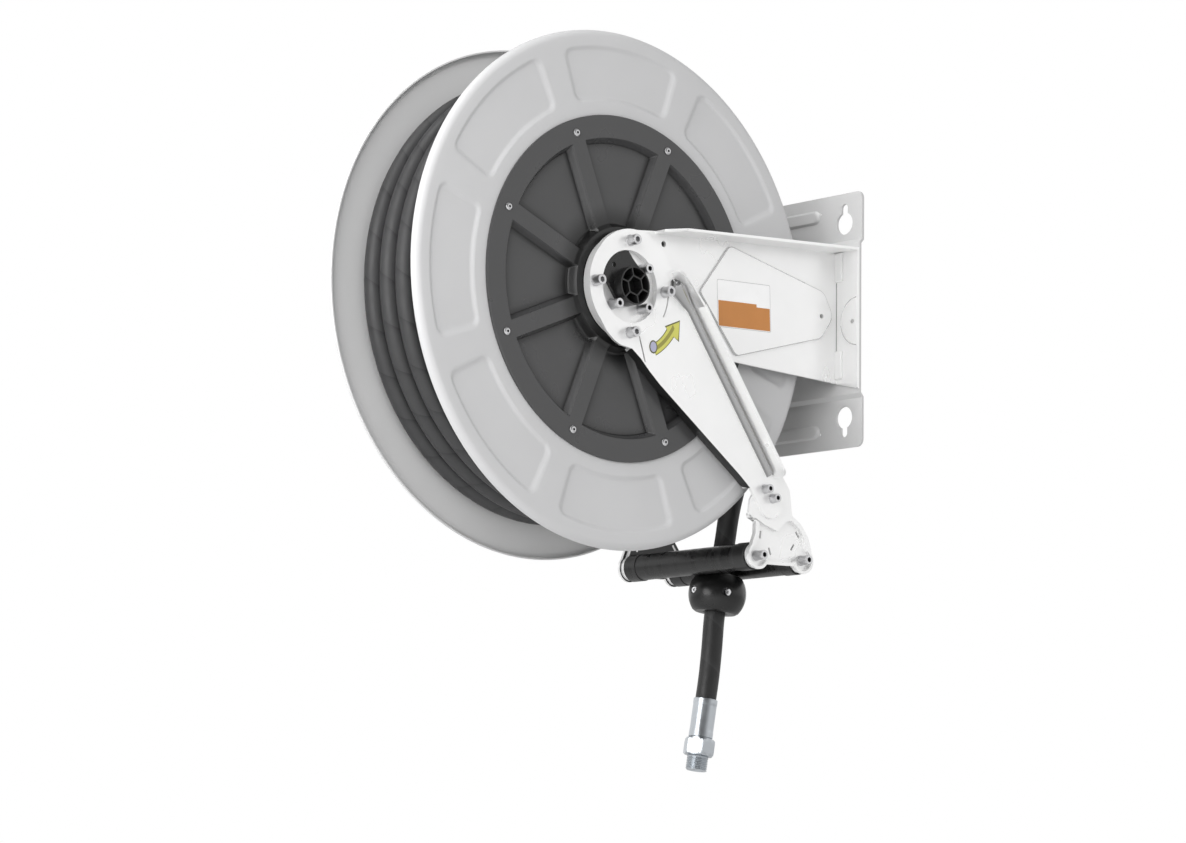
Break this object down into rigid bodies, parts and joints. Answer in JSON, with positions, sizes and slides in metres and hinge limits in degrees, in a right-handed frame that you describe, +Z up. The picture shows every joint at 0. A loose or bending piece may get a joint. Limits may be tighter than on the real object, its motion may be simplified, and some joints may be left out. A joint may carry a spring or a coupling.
{
  "type": "fire hose reel",
  "caption": "Wall-mounted spring-rewind hose reel: open drum with wound hose, hub covers, steel side arms and a two-roller hose guide with ball stop and threaded hose end.",
  "frame": {"origin": "centre of the four-keyhole pattern, on the back face of the wall plate that lies against the wall", "axes": "+X along the drum's axle towards the open hub side, +Y into the wall, +Z up"},
  "size_m": [0.2825, 0.584, 0.7537],
  "materials": {
    "arm_steel": "bright zinc-plated sheet",
    "plate_paint": "satin grey",
    "disc_paint": "smooth light grey",
    "cover_plastic": "dark grey, fine grained",
    "black_plastic": "black, satin",
    "screw_zinc": "zinc plated",
    "shaft_steel": "turned",
    "spring_steel": "blued strip",
    "brass": "turned",
    "seal_rubber": "matt",
    "hose_rubber": "smooth, wrap-marked",
    "fitting_zinc": "bright zinc"
  },
  "bodies": {
    "frame": {"wall_plate": "plate_paint", "near_side_arm": "arm_steel", "far_side_arm": "arm_steel", "corner_tabs": "arm_steel", "near_guide_arm": "arm_steel", "far_guide_arm": "arm_steel", "near_guide_plate": "arm_steel", "far_guide_plate": "arm_steel", "head_screws": "screw_zinc", "guide_arm_screws": "screw_zinc", "front_roller_axle": "shaft_steel", "rear_roller_axle": "shaft_steel", "roller_axle_screws": "screw_zinc", "main_shaft": "shaft_steel", "near_shaft_flange": "arm_steel", "far_shaft_flange": "arm_steel", "hub_core": "black_plastic", "core_screws": "screw_zinc", "spring_arbor": "shaft_steel", "arbor_key": "shaft_steel", "inlet_elbow": "brass", "inlet_nipple": "brass", "pawl_pin": "shaft_steel", "pawl_spring": "shaft_steel", "hose_last_turn": "hose_rubber", "free_hose": "hose_rubber", "ball_front_half": "black_plastic", "ball_rear_half": "black_plastic", "ball_screws": "screw_zinc", "ferrule": "fitting_zinc", "end_fitting": "fitting_zinc"},
    "drum": {"drum_core": "shaft_steel", "near_disc": "disc_paint", "far_disc": "disc_paint", "near_cover": "cover_plastic", "far_cover": "cover_plastic", "near_cover_screws": "screw_zinc", "far_cover_screws": "screw_zinc", "near_bush": "brass", "far_bush": "brass", "spring_case": "shaft_steel", "spring_lid": "shaft_steel", "power_spring": "spring_steel", "ratchet_wheel": "shaft_steel", "ratchet_screws": "screw_zinc", "swivel_body": "brass", "swivel_seals": "seal_rubber", "outlet_pipe": "brass", "core_fitting": "brass", "hose_core": "hose_rubber", "hose_winding": "hose_rubber"},
    "front_roller": {"front_roller_tube": "black_plastic", "front_roller_caps": "black_plastic"},
    "rear_roller": {"rear_roller_tube": "black_plastic", "rear_roller_caps": "black_plastic"},
    "pawl": {"pawl": "shaft_steel"}
  },
  "joints": [
    {"name": "drum_spin", "type": "hinge", "parent": "frame", "child": "drum", "pos_m": [0.017, -0.314, -0.003], "axis": [1, 0, 0], "continuous": true},
    {"name": "front_roller_spin", "type": "hinge", "parent": "frame", "child": "front_roller", "pos_m": [0, -0.124, -0.264], "axis": [1, 0, 0], "continuous": true},
    {"name": "rear_roller_spin", "type": "hinge", "parent": "frame", "child": "rear_roller", "pos_m": [0, -0.058, -0.264], "axis": [1, 0, 0], "continuous": true},
    {"name": "pawl_tilt", "type": "hinge", "parent": "frame", "child": "pawl", "pos_m": [-0.0625, -0.244, 0.049], "axis": [1, 0, 0], "range_deg": [-9, 12], "stiffness_Nm_per_rad": 0.1}
  ]
}
